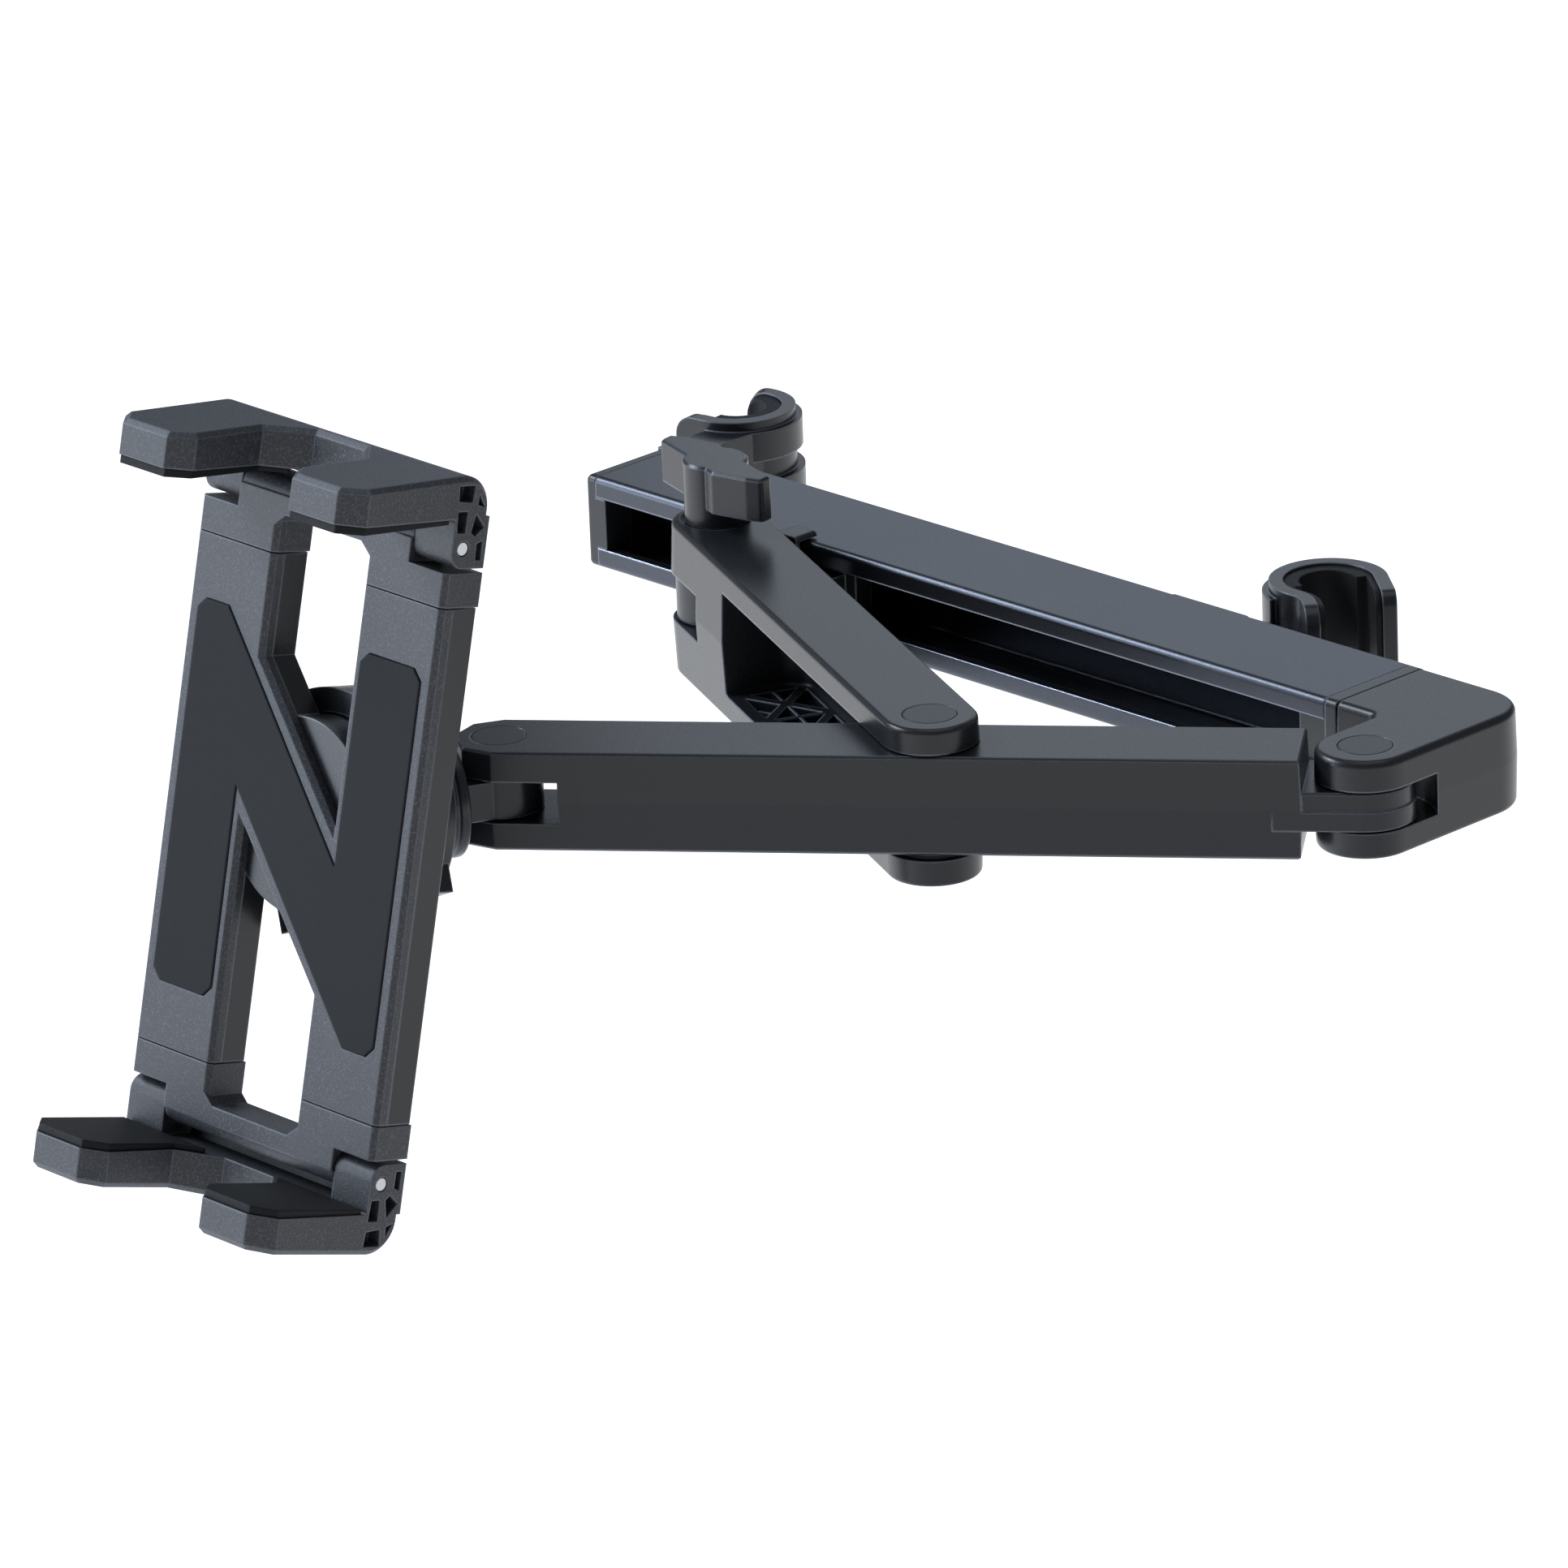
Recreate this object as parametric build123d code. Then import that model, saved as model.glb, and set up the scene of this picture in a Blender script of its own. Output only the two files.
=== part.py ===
from build123d import *
from math import asin, cos, degrees, radians, sin
import os

os.makedirs("parts", exist_ok=True)

# Tablet holder for the back of a car seat. It hooks on the two posts of a headrest.
# Frame: millimetres, +Z up along the posts, +X along the rail, +Y towards the headrest.
# The origin is the axis of the right hook's seat, at the middle of the rail's height.

# Running fits and gaps
PIN_GAP = 0.06
CAP_GAP = 0.12
SIDE_GAP = 0.4
SLIDE_GAP = 0.35
SEAM = 0.15

# Rail, an aluminium profile with an open channel at the front and one at the back
RAIL_Z = 10.25
RAIL_DEPTH = 26.6
RAIL_WALL = 2.2
RAIL_EDGE = 1.45
SLOT_HALF = 5.75
REAR_SLOT_HALF = 3.6
WEB_BACK = 11.0
CAP_THICK = 2.9
CAP_TAB = 5.7
CAP_TAB_DEPTH = 7.6
COLLAR_THICK = 3.3
PLUG_DEPTH = 9.0

# Elbow pivot and its block, with X and Y measured from the pivot's axis
ELBOW_X, ELBOW_Y = 72.5, -67.5
RAIL_FRONT = 14.2
RAIL_LEFT = -239.1
SEAM_X = -21.1
ELBOW_BOTTOM = -10.5
EAR_R = 10.4
CORNER_R = 12.0
INNER_R = 2.0
TONGUE_MID = -0.5
TONGUE_HALF = 4.0
CAP_R = 5.55
CAP_DEPTH = 1.6
PIN_R = 3.0

# Arm
ARM_ANGLE = 38.15
ARM_TOP = 10.25
ARM_BOTTOM = -10.75
ARM_HALF = 10.1
ARM_DRAFT = 2.2
ARM_START = 12.0
LINK_AT = 87.0
STUB_AT = 174.2
FORK_DEPTH = 12.9

# Link, the brace between the arm and the carriage
LINK_LEN = 129.7
LINK_HALF = 10.4
LINK_DRAFT = 2.6
LINK_TOP = 15.9
LINK_BOTTOM = -17.6
PLATE_GAP = 0.35
LOWER_PLATE = -12.0
CHANNEL_END = 99.0
WEB_START = 40.0
WEB_THICK = 2.2
KNUCKLE_TOP = 4.2
KNUCKLE_BOTTOM = -5.3
LINK_SLOT = 14.2
END_WALL_R = 7.0
RIB_CELLS, RIB_CELL, RIB_THICK, RIB_DEPTH = 4, 17.0, 0.65, 2.4
RIB_FIELD_HALF = 6.8
FLOOR_R = 1.2

# Carriage, with its pivot just behind the elbow's pivot
CARRIAGE_Y = 1.75
KNUCKLE_R = 9.3
SLIDER_LEFT = 16.0
SLIDER_RIGHT = 25.0
NECK_LEFT = 12.0
NECK_RIGHT = 22.0
OPEN_TRAVEL = 2.85

# Thumb knob
KNOB_TOP = 29.3
KNOB_R = 6.9
WING_BOTTOM = 20.0
WING_TIP = 17.9
WING_END_Y = 5.5
KNOB_HOLLOW = 10.0

# Post hooks
POST_R = 6.0
POST_GAP = 0.1
LINER = 3.3
HOOK_WALL = 3.0
HOOK_BAND = 1.4
HOOK_LEDGE = 2.2
BAND_GROOVE_TOP = 1.4
BAND_GROOVE_BOTTOM = -3.3
POST_SPACING = 174.2

# Stub between the arm and the clamp
STUB_ANGLE = -113.1
STUB_R = 8.6
FLANGE_AT = 10.7
FLANGE_R = 12.7
FLANGE_THICK = 2.6
BALL_AT = 33.4
BALL_R = 7.5
CUP_GAP = 0.3
CUP_WALL = 1.2
NECK_R = 3.0

# Clamp, with X across, Y backwards and Z up, from the ball's centre
CLAMP_TURN = -1.24
CLAMP_TILT = 13.13
FRONT_Y = -15.5
CLAMP_THICK = 9.65
CLAMP_MID = -1.95
CLAMP_HALF = 36.8
BEVEL = 1.07
FRONT_THICK = 3.0
WINDOW_HALF = 13.35
CLAW_OUT = 79.2
CLAW_DEEP = 8.6
PIN_DROP = 6.0
NOTCH_DROP = 4.9
SLIDE_FRONT = 7.1
WINDOW_RISE = 1.1
CLAW_IN = CLAW_OUT - CLAW_DEEP
CLAW_PIN_Z = CLAW_IN - PIN_DROP
NOTCH_Z = CLAW_PIN_Z - NOTCH_DROP
SEAM_Z = NOTCH_Z - SLIDE_FRONT
WINDOW_END = NOTCH_Z + WINDOW_RISE
DIAG_OUT = 31.6
DIAG_IN = 3.0
PAD_MARGIN = 2.2
PAD_RECESS = 0.8
PAD_PROUD = 0.35
PAD_CORNER = 2.3
PAD_END = 13.0
HUB_R = 20.0
RING_R = 25.4
RING_LUG = 29.6
RING_BORE_GAP = 0.35
LEG_IN, LEG_OUT = 19.0, 31.0
LEG_THICK = 4.0
LEG_LEN = 46.0
LEG_GAP = 0.35

# Claws
CLAW_PIN_Y = 3.65
CLAW_PIN_R = 1.5
NOTCH_X = 25.9
HUB = 3.25
HUB_BACK, HUB_DOWN = 0.25, 0.75
CLAW_TIP = 27.3
CLAW_BACK_R = 6.9
CLAW_TAPER = 2.4
CLAW_RISE = 1.1
CLAW_EDGE = 1.07
PAD_THIN, PAD_THICK = 1.05, 1.8
PAD_INNER = 11.0
PAD_BACK = 0.6
KNUCKLE_GAP = 0.35


def prism(points, z0, z1):
    """A straight prism over a closed outline in X and Y."""
    face = make_face(Polyline(*points, close=True))
    return Pos(0, 0, z0) * extrude(face, z1 - z0)


def block(x0, x1, y0, y1, z0, z1):
    """A box between two corners."""
    return Pos((x0 + x1) / 2, (y0 + y1) / 2, (z0 + z1) / 2) * Box(x1 - x0, y1 - y0, z1 - z0)


def rod(radius, z0, z1, x=0.0, y=0.0):
    """An upright cylinder."""
    return Pos(x, y, (z0 + z1) / 2) * Cylinder(radius, z1 - z0)


def across(radius, x0, x1, y, z):
    """A cylinder lying along X."""
    return Pos((x0 + x1) / 2, y, z) * Rot(0, 90, 0) * Cylinder(radius, x1 - x0)


def drafted(face, mid, top, bottom, draft):
    """A body that is widest at its mid plane, as it leaves a two part mould."""
    upper = extrude(face, top - mid, taper=draft)
    lower = mirror(extrude(face, mid - bottom, taper=draft), Plane.XY)
    return Pos(0, 0, mid) * (upper + lower)


def soften(body, size, pick):
    """Round the picked edges, each chain as far as the geometry allows."""
    edges = pick(body)
    return fillet(edges, size) if edges else body


def save(shape, name):
    """Write one solid, or a group of like fasteners, in millimetres."""
    solids = shape.solids()
    whole = solids[0] if len(solids) == 1 else Compound(children=list(solids))
    whole.label = name
    export_step(whole, f"parts/{name}.step")


# Places of the pivots, all from the sizes above
def turned(x, y, angle):
    """A frame at x, y whose own X points along angle."""
    return Pos(x, y, 0) * Rot(0, 0, angle)


ARM_DIR = 180 + ARM_ANGLE
ARM_FRAME = turned(ELBOW_X, ELBOW_Y, ARM_DIR)
LINK_X = ELBOW_X + LINK_AT * cos(radians(ARM_DIR))
LINK_Y = ELBOW_Y + LINK_AT * sin(radians(ARM_DIR))
KNOB_Y = ELBOW_Y + CARRIAGE_Y
LINK_ANGLE = degrees(asin((KNOB_Y - LINK_Y) / LINK_LEN))
KNOB_X = LINK_X - LINK_LEN * cos(radians(LINK_ANGLE))
LINK_FRAME = turned(LINK_X, LINK_Y, 180 - LINK_ANGLE)
CARRIAGE_FRAME = Pos(KNOB_X, KNOB_Y, 0)
STUB_X = ELBOW_X + STUB_AT * cos(radians(ARM_DIR))
STUB_Y = ELBOW_Y + STUB_AT * sin(radians(ARM_DIR))
STUB_FRAME = Pos(0, 0, TONGUE_MID) * turned(STUB_X, STUB_Y, STUB_ANGLE)
BALL_X = STUB_X + BALL_AT * cos(radians(STUB_ANGLE))
BALL_Y = STUB_Y + BALL_AT * sin(radians(STUB_ANGLE))
CLAMP_FRAME = Pos(BALL_X, BALL_Y, TONGUE_MID) * Rot(0, 0, CLAMP_TURN) * Rot(-CLAMP_TILT, 0, 0)
PLATE_FRAME = CLAMP_FRAME * Pos(0, 0, CLAMP_MID)

RAIL_Y0 = ELBOW_Y + RAIL_FRONT
RAIL_Y1 = RAIL_Y0 + RAIL_DEPTH
RAIL_X0 = ELBOW_X + RAIL_LEFT + CAP_THICK
RAIL_X1 = ELBOW_X + SEAM_X - COLLAR_THICK


# Rail
def rail_outline(inset=0.0, edge=RAIL_EDGE):
    """The profile's outer outline, drawn in Y and Z."""
    depth = RAIL_DEPTH - 2 * inset
    height = 2 * (RAIL_Z - inset)
    return Rectangle(depth, height) if edge <= 0 else RectangleRounded(depth, height, edge)


def along_rail(sketch, x0, x1):
    """Extrude a sketch, drawn in Y and Z about the rail's middle, along X."""
    place = Plane(origin=(x0, (RAIL_Y0 + RAIL_Y1) / 2, 0), x_dir=(0, 1, 0), z_dir=(1, 0, 0))
    return extrude(place * sketch, x1 - x0)


def cavity(y0, y1, half):
    """A hollow of the profile from y0 to y1, both measured back from its front face."""
    mid = (y0 + y1) / 2 - RAIL_DEPTH / 2
    return Pos(mid, 0) * RectangleRounded(y1 - y0, 2 * half, 0.8)


FRONT_CAVITY = (RAIL_WALL, RAIL_DEPTH - WEB_BACK - RAIL_WALL / 2)
REAR_CAVITY = (RAIL_DEPTH - WEB_BACK + RAIL_WALL / 2, RAIL_DEPTH - RAIL_WALL)
CAVITY_HALF = RAIL_Z - RAIL_WALL


def slot_cut(y0, y1, half):
    """A straight mouth through the front or the back wall of the profile."""
    mid = (y0 + y1) / 2 - RAIL_DEPTH / 2
    return Pos(mid, 0) * Rectangle(y1 - y0, 2 * half)


def rail():
    section = rail_outline()
    section -= cavity(*FRONT_CAVITY, CAVITY_HALF)
    section -= cavity(*REAR_CAVITY, CAVITY_HALF)
    section -= slot_cut(-1, RAIL_WALL + 1, SLOT_HALF)
    section -= slot_cut(RAIL_DEPTH - RAIL_WALL - 1, RAIL_DEPTH + 1, REAR_SLOT_HALF)
    body = along_rail(section, RAIL_X0, RAIL_X1)
    for screw_x in RIGHT_SCREWS:
        body -= lying_y(1.5, RAIL_Y1 - RAIL_WALL - 1, RAIL_Y1 + 1, screw_x, SCREW_Z)
        body -= lying_y(1.5, RAIL_Y1 - RAIL_WALL - 1, RAIL_Y1 + 1, screw_x, -SCREW_Z)
    return body


def lying_y(radius, y0, y1, x, z):
    """A cylinder lying along Y."""
    return Pos(x, (y0 + y1) / 2, z) * Rot(90, 0, 0) * Cylinder(radius, y1 - y0)


def plug(x0, x1, tab):
    """The part of an end piece that fills the profile's two channels."""
    deep = CAP_TAB_DEPTH if tab else FRONT_CAVITY[1] - SEAM
    body = along_rail(cavity(FRONT_CAVITY[0] + SEAM, deep, CAVITY_HALF - SEAM), x0, x1)
    body += along_rail(cavity(REAR_CAVITY[0] + SEAM, REAR_CAVITY[1] - SEAM, CAVITY_HALF - SEAM), x0, x1)
    if tab:
        mouth = slot_cut(0, RAIL_WALL + 1, SLOT_HALF - SEAM)
        body += along_rail(mouth, x0, x1)
    return body


def rail_end_cap():
    x0 = ELBOW_X + RAIL_LEFT
    body = along_rail(rail_outline(), x0, RAIL_X0 - SEAM)
    body = soften(body, 1.0, lambda b: b.faces().sort_by(Axis.X)[0].edges())
    return body + plug(RAIL_X0 - SEAM, x0 + CAP_TAB, True)


def rail_collar():
    x1 = ELBOW_X + SEAM_X - SEAM
    body = along_rail(rail_outline(), RAIL_X1 + SEAM, x1)
    body += plug(RAIL_X1 - PLUG_DEPTH, RAIL_X1 + SEAM, False)
    return body


# Elbow
def elbow_plan():
    """The block's outline, an L of a leg to the pivot and a head on the rail's end."""
    back = RAIL_FRONT + RAIL_DEPTH
    lines = Polyline((-EAR_R, 0), (-EAR_R, RAIL_FRONT), (SEAM_X, RAIL_FRONT), (SEAM_X, back),
                     (EAR_R, back), (EAR_R, 0))
    ear = ThreePointArc((EAR_R, 0), (0, -EAR_R), (-EAR_R, 0))
    plan = make_face(Curve() + [lines, ear])
    corner = [v for v in plan.vertices() if v.X > 0 and v.Y > back - 1]
    plan = fillet(corner, CORNER_R)
    inner = [v for v in plan.vertices() if abs(v.X + EAR_R) < 0.01 and abs(v.Y - RAIL_FRONT) < 0.01]
    return fillet(inner, INNER_R)


def elbow():
    mid = (ARM_TOP + ELBOW_BOTTOM) / 2
    body = drafted(elbow_plan(), mid, ARM_TOP, ELBOW_BOTTOM, 1.6)
    seam = block(SEAM_X - 2, SEAM_X, -40, 60, -20, 20)
    body -= seam
    rim = body.edges().filter_by(lambda e: abs(e.center().Z - ARM_TOP) < 0.01 and e.center().X > SEAM_X + 0.5)
    body = fillet(rim, 1.5)
    low = body.edges().filter_by(lambda e: abs(e.center().Z - ELBOW_BOTTOM) < 0.01 and e.center().X > SEAM_X + 0.5)
    body = fillet(low, 1.2)
    slot = rod(14.2, TONGUE_MID - TONGUE_HALF - SIDE_GAP, TONGUE_MID + TONGUE_HALF + SIDE_GAP)
    body -= slot
    body -= rod(CAP_R + CAP_GAP, ARM_TOP - CAP_DEPTH, ARM_TOP + 1)
    body -= rod(PIN_R + PIN_GAP / 2, ELBOW_BOTTOM + 2.0, ARM_TOP)
    return turned(ELBOW_X, ELBOW_Y, 0) * body


def capped_pin(top, bottom, radius=PIN_R):
    """A pivot pin with the flat round cap that shows on top."""
    cap = rod(CAP_R, top - CAP_DEPTH, top)
    cap = chamfer(cap.edges().group_by(Axis.Z)[-1], 0.12)
    body = cap + rod(radius, bottom, top - CAP_DEPTH)
    return chamfer(body.edges().group_by(Axis.Z)[0], 0.4)


def elbow_pin():
    return turned(ELBOW_X, ELBOW_Y, 0) * capped_pin(ARM_TOP, ELBOW_BOTTOM + 2.1)


# Arm
def arm_plan():
    """The box of the arm with its cut corners at the clamp end."""
    end = STUB_AT + ARM_HALF
    return make_face(Polyline(
        (ARM_START, -ARM_HALF), (STUB_AT + 0.4, -ARM_HALF), (STUB_AT + 6.8, -7.2), (end - 1.6, -3.4),
        (end, 0), (end - 1.6, 3.4), (STUB_AT + 6.8, 7.2), (STUB_AT + 0.4, ARM_HALF),
        (ARM_START, ARM_HALF), close=True))


def arm():
    mid = (ARM_TOP + ARM_BOTTOM) / 2
    body = drafted(arm_plan(), mid, ARM_TOP, ARM_BOTTOM, ARM_DRAFT)
    rims = body.edges().filter_by(lambda e: abs(e.center().Z - ARM_TOP) < 0.01 or abs(e.center().Z - ARM_BOTTOM) < 0.01)
    body = chamfer(rims, 0.5)
    tongue_z0 = TONGUE_MID - TONGUE_HALF
    tongue_z1 = TONGUE_MID + TONGUE_HALF
    tongue = rod(ARM_HALF - 0.4, TONGUE_MID, tongue_z1) + rod(ARM_HALF, tongue_z0, TONGUE_MID)
    neck = block(0, ARM_START + 6, -ARM_HALF + 0.4, ARM_HALF - 0.4, TONGUE_MID, tongue_z1)
    neck += block(0, ARM_START + 6, -ARM_HALF, ARM_HALF, tongue_z0, TONGUE_MID)
    joined = tongue + neck
    joined = chamfer(joined.edges().group_by(Axis.Z)[-1], 0.4)
    body += joined & rod(60, tongue_z0, tongue_z1)
    body -= rod(PIN_R + PIN_GAP, -30, 30)
    gap = TONGUE_HALF + SIDE_GAP
    fork = block(STUB_AT - FORK_DEPTH, STUB_AT + 20, -20, 20, TONGUE_MID - gap, TONGUE_MID + gap)
    body -= fork
    body -= Pos(STUB_AT, 0, 0) * rod(CAP_R + CAP_GAP, ARM_TOP - CAP_DEPTH, ARM_TOP + 1)
    body -= Pos(STUB_AT, 0, 0) * rod(PIN_R + PIN_GAP / 2, ARM_BOTTOM + 2.0, ARM_TOP)
    body -= Pos(LINK_AT, 0, 0) * rod(PIN_R + PIN_GAP, -30, 30)
    return ARM_FRAME * body


def stub_pin():
    return ARM_FRAME * Pos(STUB_AT, 0, 0) * capped_pin(ARM_TOP, ARM_BOTTOM + 2.1)


def link_pin():
    return LINK_FRAME * capped_pin(LINK_TOP, LINK_BOTTOM + 2.1)


# Link
def link_plan(x1=LINK_LEN):
    return SlotCenterToCenter(x1, 2 * LINK_HALF).moved(Location((x1 / 2, 0, 0)))


def rib_pocket(points, depth):
    """One triangular pocket of the lower plate, with straight walls."""
    return prism(points, LOWER_PLATE - depth, LOWER_PLATE + 0.01)


def lattice_pockets():
    """The sunk fields between the ribs of the lower plate, one crossed cell after another."""
    pockets = []
    cell, rib, half_w = RIB_CELL, RIB_THICK, RIB_FIELD_HALF
    start = CHANNEL_END - 1.8
    for k in range(RIB_CELLS):
        x1 = start - k * cell
        x0 = x1 - cell + 1.2
        xm = (x0 + x1) / 2
        run = (x1 - x0) / 2
        pockets.append([(x0 + 2.2 * rib, half_w), (x1 - 2.2 * rib, half_w), (xm, 2.2 * rib)])
        pockets.append([(x0 + 2.2 * rib, -half_w), (x1 - 2.2 * rib, -half_w), (xm, -2.2 * rib)])
        for sign in (1, -1):
            tip = xm + sign * 2.6 * rib
            far = xm + sign * run
            pockets.append([(far, rib / 2), (tip, rib / 2), (far, half_w - 1.6)])
            pockets.append([(far, -rib / 2), (tip, -rib / 2), (far, -half_w + 1.6)])
    return pockets


def link():
    body = drafted(link_plan(), TONGUE_MID, LINK_TOP, LINK_BOTTOM, LINK_DRAFT)
    top_edges = body.edges().group_by(Axis.Z)[-1]
    body = fillet(top_edges, 1.1)
    body = fillet(body.edges().group_by(Axis.Z)[0], 0.8)
    upper = ARM_TOP + PLATE_GAP
    channel = block(-20, CHANNEL_END, -LINK_HALF + WEB_THICK, 20, LOWER_PLATE, upper)
    corner = channel.edges().filter_by(Axis.Z).sort_by(lambda e: e.center().X - e.center().Y)[-1:]
    channel = fillet(corner, END_WALL_R)
    low = channel.faces().sort_by(Axis.Z)[0].edges().filter_by(lambda e: e.center().X > 30 and e.center().Y < 19)
    channel = fillet(low, FLOOR_R)
    body -= channel
    near = block(-20, WEB_START, -20, 0, LOWER_PLATE, upper)
    body -= near
    boss = rod(8.0, LOWER_PLATE - 0.5, ARM_BOTTOM - PLATE_GAP)
    body += boss
    for points in lattice_pockets():
        body -= rib_pocket(points, RIB_DEPTH)
    slot = block(LINK_LEN - LINK_SLOT, LINK_LEN + 20, -20, 20, KNUCKLE_BOTTOM - SIDE_GAP, KNUCKLE_TOP + SIDE_GAP)
    body -= slot
    body -= rod(CAP_R + CAP_GAP, LINK_TOP - CAP_DEPTH, LINK_TOP + 1)
    body -= rod(PIN_R + PIN_GAP / 2, LINK_BOTTOM + 2.0, LINK_TOP)
    body -= Pos(LINK_LEN, 0, 0) * rod(PIN_R + PIN_GAP, LINK_BOTTOM + 2.0, LINK_TOP + 1)
    body -= Pos(LINK_LEN, 0, 0) * rod(KNOB_R + 0.9, LINK_TOP - 0.5, LINK_TOP + 1)
    return LINK_FRAME * body


# Carriage
def carriage():
    """The slider in the rail's front channel, with the knuckle that the link's fork takes."""
    face = RAIL_FRONT - CARRIAGE_Y
    back = face + RAIL_WALL
    neck_z0, neck_z1 = KNUCKLE_BOTTOM, KNUCKLE_TOP
    body = rod(KNUCKLE_R, neck_z0, neck_z1)
    body += block(-KNUCKLE_R, 12.0, 0, face, neck_z0, neck_z1)
    body += block(-NECK_LEFT, NECK_RIGHT, face - OPEN_TRAVEL, back + 2, neck_z0, neck_z1)
    flange_z = CAVITY_HALF - SLIDE_GAP
    body += block(-SLIDER_LEFT, SLIDER_RIGHT, back + 0.6, back + 5.2, -flange_z, flange_z)
    finger_x0, finger_x1 = 7.0, 13.5
    plate_y = face - OPEN_TRAVEL
    finger = block(finger_x0, finger_x1, plate_y, plate_y + 0.9, -RAIL_Z - 1.5, RAIL_Z + 1.5)
    finger += block(finger_x0, finger_x1, plate_y, face + 3.2, RAIL_Z + 0.4, RAIL_Z + 1.5)
    finger += block(finger_x0, finger_x1, plate_y, face + 3.2, -RAIL_Z - 1.5, -RAIL_Z - 0.4)
    corners = finger.edges().filter_by(Axis.Y).filter_by(lambda e: abs(e.center().Z) > RAIL_Z + 1)
    body += fillet(corners, 1.0)
    body -= rod(PIN_R - 0.4, -30, 30)
    return CARRIAGE_FRAME * body


# Thumb knob
def knob_plan():
    """The S-shaped outline of two swept wings on a round hub."""
    half = [(0.5 - WING_TIP, 0.9), (-WING_TIP, 4.2), (3.4 - WING_TIP, WING_END_Y), (-6.1, 7.2), (6.2, 2.6)]
    outline = half + [(-x, -y) for x, y in half]
    face = make_face(Polyline(*outline, close=True))
    face = fillet([v for v in face.vertices() if abs(v.X) > 5], 0.9)
    return face


def knob():
    hub = rod(KNOB_R, LINK_TOP - 0.2, WING_BOTTOM + 3)
    head = Pos(0, 0, WING_BOTTOM) * extrude(knob_plan() + Circle(KNOB_R), KNOB_TOP - WING_BOTTOM)
    head = chamfer(head.edges().group_by(Axis.Z)[-1], 0.6)
    body = hub + head
    body -= rod(PIN_R - 0.2, KNOB_HOLLOW, KNOB_TOP - 4)
    return CARRIAGE_FRAME * body


def knob_screw():
    shaft = rod(PIN_R - 0.25, LINK_TOP - 0.2, KNOB_TOP - 4.1) + rod(PIN_R - 0.45, LINK_BOTTOM + 2.2, LINK_TOP)
    return CARRIAGE_FRAME * chamfer(shaft.edges().group_by(Axis.Z)[0], 0.3)


# Post hooks, drawn about the post's axis, with the mouth towards +X before they are turned
SEAT_R = POST_R + POST_GAP
LINER_R = SEAT_R + LINER
HOOK_R = LINER_R + HOOK_WALL
HOOK_MID = LINER_R + HOOK_WALL / 2


def sector(x, y, r0, r1, a0, a1, z0, z1):
    """A part of a ring about x, y between two angles, in degrees."""
    mid = radians((a0 + a1) / 2)
    ends = radians(a0), radians(a1)

    def at(radius, angle):
        return (x + radius * cos(angle), y + radius * sin(angle))

    outer = ThreePointArc(at(r1, ends[0]), at(r1, mid), at(r1, ends[1]))
    inner = ThreePointArc(at(r0, ends[1]), at(r0, mid), at(r0, ends[0]))
    face = make_face(Curve() + [outer, Line(outer @ 1, inner @ 0), inner, Line(inner @ 1, outer @ 0)])
    return Pos(0, 0, z0) * extrude(face, z1 - z0)


def corner_cut(x, y, angle, radius, half):
    """What a round corner, seen from the side, takes off the end of an upright wall."""
    cut = block(-radius, 30, -6, 6, half - radius, half + 1)
    cut -= lying_y(radius, -6, 6, -radius, half - radius)
    both = cut + mirror(cut, Plane.XY)
    return turned(x, y, angle) * both


def hook_wall(r0, r1, half, shape, trim=0.0):
    """A layer of a hook between two radii: north wall, ring, and south wall with its swing."""
    start, north, swing_at, swing_r, south = shape
    mid = HOOK_MID
    body = sector(0, 0, r0, r1, start, swing_at, -half, half)
    if north > 0:
        body += block(-0.01, north - trim, r0, r1, -half, half)
    if swing_r > 0:
        reach = mid + swing_r
        cx, cy = reach * cos(radians(swing_at)), reach * sin(radians(swing_at))
        body += sector(cx, cy, swing_r - (r1 - mid), swing_r + (mid - r0), 90, swing_at - 180, -half, half)
        y = cy + swing_r
        body += block(cx - 0.01, south - trim, y - (r1 - mid), y + (mid - r0), -half, half)
    else:
        body += block(-0.01, south - trim, -r1, -r0, -half, half)
    return body


def hook_ends(shape, r_north, r_south, half, trim=0.0):
    """The round corners of both wall ends."""
    start, north, swing_at, swing_r, south = shape
    if north > 0:
        cuts = corner_cut(north - trim, HOOK_MID, 0, r_north, half)
    else:
        a = radians(start)
        cuts = corner_cut(HOOK_MID * cos(a), HOOK_MID * sin(a), start - 90, r_north, half)
    y = -HOOK_MID
    if swing_r > 0:
        y = (HOOK_MID + swing_r) * sin(radians(swing_at)) + swing_r
    return cuts + corner_cut(south - trim, y, 0, r_south, half)


RIGHT_TURN = -38.0
RIGHT_SHAPE = (90.0, 12.0, 312.0, 7.5, 19.0)
LEFT_TURN = -7.0
LEFT_SHAPE = (64.0, 0.0, 270.0, 0.0, 7.6)
END_R = 4.4
SCREW_Z = 5.5
RIGHT_SCREWS = (-19.0, -12.0)
LEFT_SCREWS = (-27.0, -19.0)
FOOT_HALF = 8.2
NECK_TOP = 1.6


def hook_liner(shape, half):
    """The rubber that lines the hook, thick round the post and thin along the walls."""
    start, north, swing_at, swing_r, south = shape
    body = hook_wall(LINER_R - LINER_THIN, LINER_R - 0.02, half, shape, 0.6)
    body += sector(0, 0, SEAT_R, LINER_R - 0.5, max(start + 6, 72), min(swing_at, 290), -half, half)
    body -= hook_ends(shape, END_R, END_R, half, 0.6)
    return body


LINER_THIN = 1.3


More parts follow.
